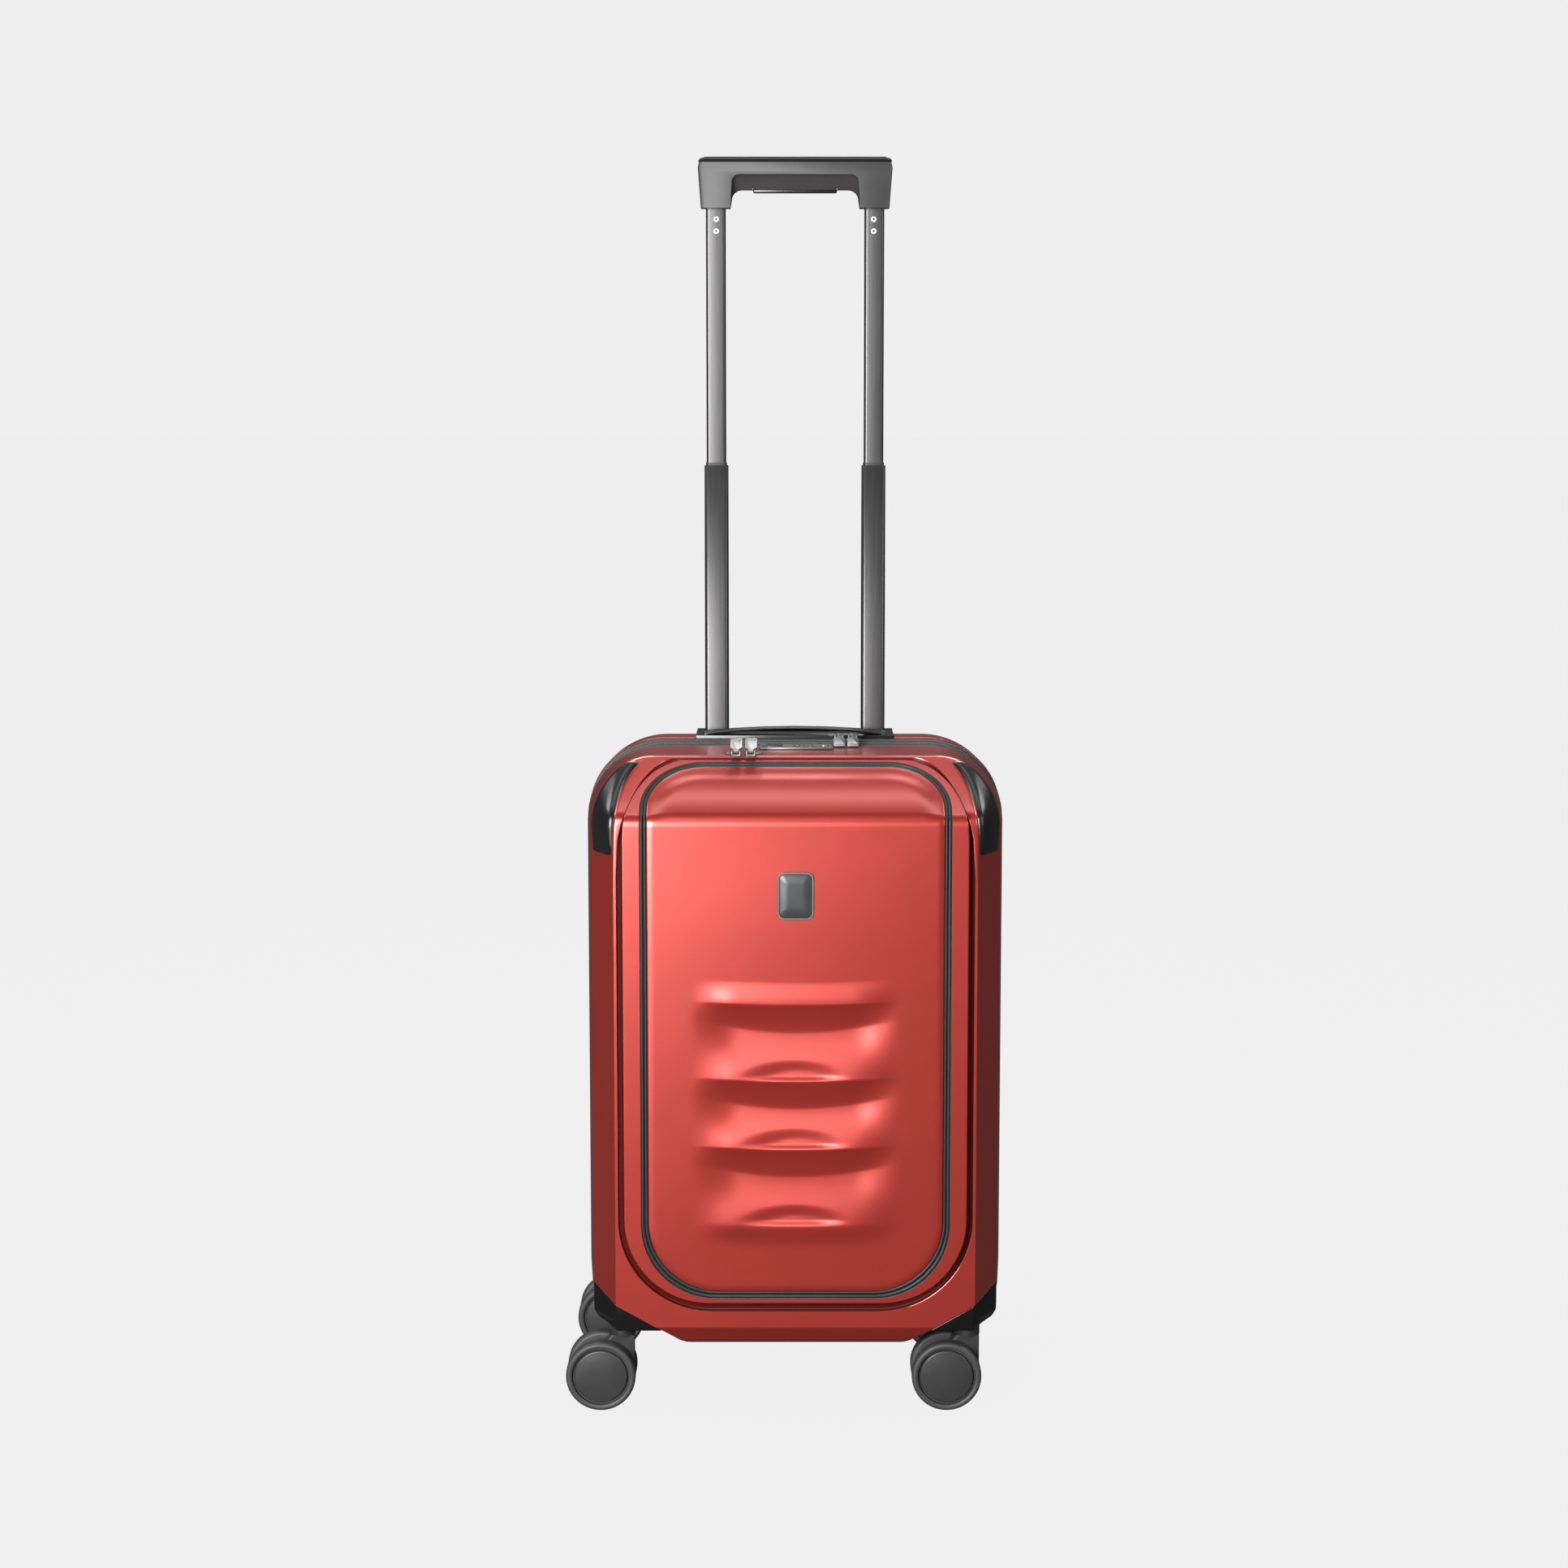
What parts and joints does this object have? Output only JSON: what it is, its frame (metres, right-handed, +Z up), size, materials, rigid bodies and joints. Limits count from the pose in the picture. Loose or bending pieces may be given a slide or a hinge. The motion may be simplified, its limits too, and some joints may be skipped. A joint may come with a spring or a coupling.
{
  "type": "hard-shell cabin spinner suitcase",
  "caption": "Upright hard-shell cabin case with a front door, expansion band, two-stage trolley handle and twin-wheel swivel casters.",
  "frame": {"origin": "bottom centre of the bounding box at rest, on the floor under the wheels", "axes": "+X to the case's right seen from the front, +Y to the back, +Z up; the front door faces -Y"},
  "size_m": [0.3675, 0.23, 1.038],
  "materials": {
    "red_shell": "glossy metallic red moulded polycarbonate",
    "black_gloss": "glossy black moulded plastic",
    "black_satin": "satin black moulded plastic",
    "zip_tape": "dark grey woven zip tape",
    "lining": "grey woven lining",
    "tube_metal": "grey anodised aluminium",
    "satin_silver": "satin silver die-cast metal",
    "dark_metal": "dark steel",
    "wheel_grey": "dark grey polyurethane wheel"
  },
  "bodies": {
    "back_half": {"back_shell": "red_shell", "back_zip_tape": "zip_tape", "trolley_bezel": "black_gloss", "trolley_guide_left": "black_satin", "trolley_guide_right": "black_satin", "rear_housing_left": "black_gloss", "rear_housing_right": "black_gloss"},
    "expansion_band": {"main_zip_rear_tape": "zip_tape", "expansion_gusset": "lining"},
    "front_half": {"front_shell": "red_shell", "main_zip_front_tape": "zip_tape", "door_zip_tape": "zip_tape", "pocket_back_panel": "lining", "corner_guard_left": "black_gloss", "corner_guard_right": "black_gloss", "front_housing_left": "black_gloss", "front_housing_right": "black_gloss", "lock_body": "black_gloss", "door_slider_left": "satin_silver", "door_slider_right": "satin_silver", "main_slider_left": "satin_silver", "main_slider_right": "satin_silver"},
    "front_door": {"door_panel": "red_shell", "badge_plate": "satin_silver"},
    "trolley_lower": {"lower_tube_left": "tube_metal", "lower_tube_right": "tube_metal"},
    "trolley_upper": {"upper_tube_left": "tube_metal", "upper_tube_right": "tube_metal", "grip_body": "black_satin", "grip_cap": "black_gloss"},
    "release_button": {"release_button": "black_gloss"},
    "carry_handle": {"carry_handle": "black_satin"},
    "door_pull_left": {"door_pull_left": "satin_silver"},
    "door_pull_right": {"door_pull_right": "satin_silver"},
    "main_pull_left": {"main_pull_left": "satin_silver"},
    "main_pull_right": {"main_pull_right": "satin_silver"},
    "lock_release": {"lock_release_slide": "satin_silver"},
    "lock_dial_1": {"lock_dial_1": "black_satin"},
    "lock_dial_2": {"lock_dial_2": "black_satin"},
    "lock_dial_3": {"lock_dial_3": "black_satin"},
    "lock_key": {"lock_key_cylinder": "satin_silver"},
    "front_caster_left": {"front_caster_left_fork": "black_satin", "front_caster_left_axle": "dark_metal"},
    "front_caster_left_wheel_outer": {"front_caster_left_wheel_outer": "wheel_grey"},
    "front_caster_left_wheel_inner": {"front_caster_left_wheel_inner": "wheel_grey"},
    "front_caster_right": {"front_caster_right_fork": "black_satin", "front_caster_right_axle": "dark_metal"},
    "front_caster_right_wheel_outer": {"front_caster_right_wheel_outer": "wheel_grey"},
    "front_caster_right_wheel_inner": {"front_caster_right_wheel_inner": "wheel_grey"},
    "rear_caster_left": {"rear_caster_left_fork": "black_satin", "rear_caster_left_axle": "dark_metal"},
    "rear_caster_left_wheel_outer": {"rear_caster_left_wheel_outer": "wheel_grey"},
    "rear_caster_left_wheel_inner": {"rear_caster_left_wheel_inner": "wheel_grey"},
    "rear_caster_right": {"rear_caster_right_fork": "black_satin", "rear_caster_right_axle": "dark_metal"},
    "rear_caster_right_wheel_outer": {"rear_caster_right_wheel_outer": "wheel_grey"},
    "rear_caster_right_wheel_inner": {"rear_caster_right_wheel_inner": "wheel_grey"}
  },
  "joints": [
    {"name": "expansion_slide", "type": "slide", "parent": "back_half", "child": "expansion_band", "axis": [0, -1, 0], "range_m": [0, 0.028]},
    {"name": "case_opening", "type": "hinge", "parent": "expansion_band", "child": "front_half", "pos_m": [0.18418, 0.0304, 0.3], "axis": [0, 0, 1], "range_deg": [0, 150]},
    {"name": "front_door_hinge", "type": "hinge", "parent": "front_half", "child": "front_door", "pos_m": [0.00737, -0.112, 0.1047], "axis": [1, 0, 0], "range_deg": [0, 90]},
    {"name": "trolley_lower_slide", "type": "slide", "parent": "back_half", "child": "trolley_lower", "axis": [0, 0, 1], "range_m": [-0.22, 0]},
    {"name": "trolley_upper_slide", "type": "slide", "parent": "trolley_lower", "child": "trolley_upper", "axis": [0, 0, 1], "range_m": [-0.21, 0]},
    {"name": "release_button_press", "type": "slide", "parent": "trolley_upper", "child": "release_button", "axis": [0, 0, 1], "range_m": [0, 0.004], "stiffness_N_per_m": 800},
    {"name": "carry_handle_lift", "type": "slide", "parent": "back_half", "child": "carry_handle", "axis": [0, 0, 1], "range_m": [0, 0.012]},
    {"name": "lock_release_slide", "type": "slide", "parent": "front_half", "child": "lock_release", "axis": [-1, 0, 0], "range_m": [0, 0.003], "stiffness_N_per_m": 400},
    {"name": "lock_key_turn", "type": "hinge", "parent": "front_half", "child": "lock_key", "pos_m": [0.03188, 0, 0.5453], "axis": [0, 0, 1], "range_deg": [0, 90]},
    {"name": "door_pull_left_flip", "type": "hinge", "parent": "front_half", "child": "door_pull_left", "pos_m": [-0.04163, -0.0585, 0.5473], "axis": [1, 0, 0], "range_deg": [0, 140]},
    {"name": "door_pull_right_flip", "type": "hinge", "parent": "front_half", "child": "door_pull_right", "pos_m": [-0.02942, -0.0585, 0.5473], "axis": [1, 0, 0], "range_deg": [0, 140]},
    {"name": "main_pull_left_flip", "type": "hinge", "parent": "front_half", "child": "main_pull_left", "pos_m": [0.04467, 0.0304, 0.5498], "axis": [-1, 0, 0], "range_deg": [0, 105]},
    {"name": "main_pull_right_flip", "type": "hinge", "parent": "front_half", "child": "main_pull_right", "pos_m": [0.05638, 0.0304, 0.5498], "axis": [-1, 0, 0], "range_deg": [0, 105]},
    {"name": "lock_dial_1_spin", "type": "hinge", "parent": "front_half", "child": "lock_dial_1", "pos_m": [0.00898, 0, 0.5403], "axis": [1, 0, 0], "continuous": true},
    {"name": "lock_dial_2_spin", "type": "hinge", "parent": "front_half", "child": "lock_dial_2", "pos_m": [0.01628, 0, 0.5403], "axis": [1, 0, 0], "continuous": true},
    {"name": "lock_dial_3_spin", "type": "hinge", "parent": "front_half", "child": "lock_dial_3", "pos_m": [0.02368, 0, 0.5403], "axis": [1, 0, 0], "continuous": true},
    {"name": "front_caster_left_swivel", "type": "hinge", "parent": "front_half", "child": "front_caster_left", "pos_m": [-0.13662, -0.0835, 0.068], "axis": [0, 0, 1], "continuous": true},
    {"name": "front_caster_left_wheel_outer_roll", "type": "hinge", "parent": "front_caster_left", "child": "front_caster_left_wheel_outer", "pos_m": [-0.15463, -0.0835, 0.029], "axis": [0, 1, 0], "continuous": true},
    {"name": "front_caster_left_wheel_inner_roll", "type": "hinge", "parent": "front_caster_left", "child": "front_caster_left_wheel_inner", "pos_m": [-0.15463, -0.0835, 0.029], "axis": [0, 1, 0], "continuous": true},
    {"name": "front_caster_right_swivel", "type": "hinge", "parent": "front_half", "child": "front_caster_right", "pos_m": [0.15138, -0.0835, 0.068], "axis": [0, 0, 1], "continuous": true},
    {"name": "front_caster_right_wheel_outer_roll", "type": "hinge", "parent": "front_caster_right", "child": "front_caster_right_wheel_outer", "pos_m": [0.13337, -0.0835, 0.029], "axis": [0, 1, 0], "continuous": true},
    {"name": "front_caster_right_wheel_inner_roll", "type": "hinge", "parent": "front_caster_right", "child": "front_caster_right_wheel_inner", "pos_m": [0.13337, -0.0835, 0.029], "axis": [0, 1, 0], "continuous": true},
    {"name": "rear_caster_left_swivel", "type": "hinge", "parent": "back_half", "child": "rear_caster_left", "pos_m": [-0.13662, 0.0835, 0.068], "axis": [0, 0, 1], "continuous": true},
    {"name": "rear_caster_left_wheel_outer_roll", "type": "hinge", "parent": "rear_caster_left", "child": "rear_caster_left_wheel_outer", "pos_m": [-0.15463, 0.0835, 0.029], "axis": [0, 1, 0], "continuous": true},
    {"name": "rear_caster_left_wheel_inner_roll", "type": "hinge", "parent": "rear_caster_left", "child": "rear_caster_left_wheel_inner", "pos_m": [-0.15463, 0.0835, 0.029], "axis": [0, 1, 0], "continuous": true},
    {"name": "rear_caster_right_swivel", "type": "hinge", "parent": "back_half", "child": "rear_caster_right", "pos_m": [0.15138, 0.0835, 0.068], "axis": [0, 0, 1], "continuous": true},
    {"name": "rear_caster_right_wheel_outer_roll", "type": "hinge", "parent": "rear_caster_right", "child": "rear_caster_right_wheel_outer", "pos_m": [0.13337, 0.0835, 0.029], "axis": [0, 1, 0], "continuous": true},
    {"name": "rear_caster_right_wheel_inner_roll", "type": "hinge", "parent": "rear_caster_right", "child": "rear_caster_right_wheel_inner", "pos_m": [0.13337, 0.0835, 0.029], "axis": [0, 1, 0], "continuous": true}
  ]
}
